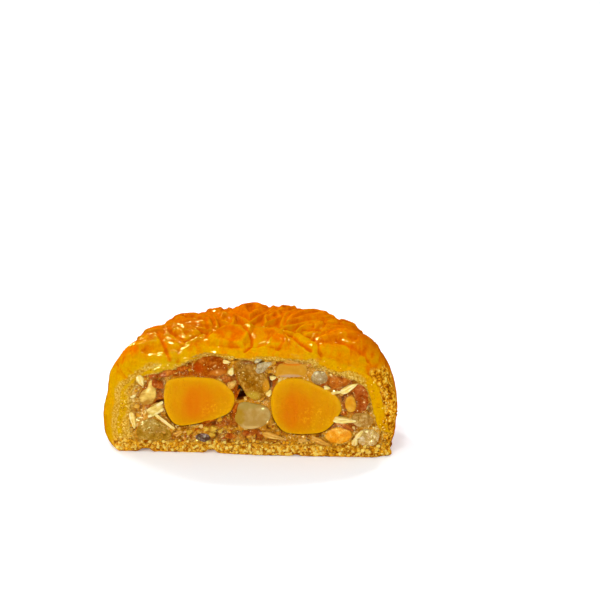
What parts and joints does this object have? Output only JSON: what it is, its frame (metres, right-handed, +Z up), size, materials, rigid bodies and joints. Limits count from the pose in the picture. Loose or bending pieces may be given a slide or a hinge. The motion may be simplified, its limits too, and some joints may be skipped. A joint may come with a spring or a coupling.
{
  "type": "halved ham and chicken mooncake",
  "caption": "Half of a moulded round mooncake, cut side showing ham, chicken, candied melon, nuts, seeds and salted yolks",
  "frame": {"origin": "middle of the box on the flat base that the half cake rests on", "axes": "+X along the cut from its left to its right as seen from the front, +Y back from the cut, +Z up"},
  "size_m": [0.086, 0.045, 0.0371],
  "materials": {
    "crust": "glazed, golden to orange baked pastry with a paler crumbly cut edge",
    "filling": "sticky brown paste with fine chopped nuts and seeds",
    "yolk": "satin, fine-pored deep orange salted yolk",
    "melon": "sugary translucent candied melon, beige to olive brown",
    "ham": "glossy translucent red-brown cured ham",
    "chicken": "matt fibrous tan meat",
    "nut": "cream nut meat with a thin skin",
    "peel": "glossy candied orange peel",
    "dried_fruit": "dark wrinkled sticky dried fruit"
  },
  "bodies": {
    "root": {"crust": "crust", "filling": "filling", "yolk_left": "yolk", "yolk_right": "yolk", "melon_brown": "melon", "melon_pale": "melon", "melon_olive": "melon", "melon_grey": "melon", "melon_round": "melon", "ham_top": "ham", "ham_right": "ham", "ham_far": "ham", "chicken": "chicken", "nut_pear": "nut", "nut_amber": "nut", "nut_almond": "nut", "peel_orange": "peel", "raisin": "dried_fruit", "date_brown": "dried_fruit"}
  },
  "joints": []
}
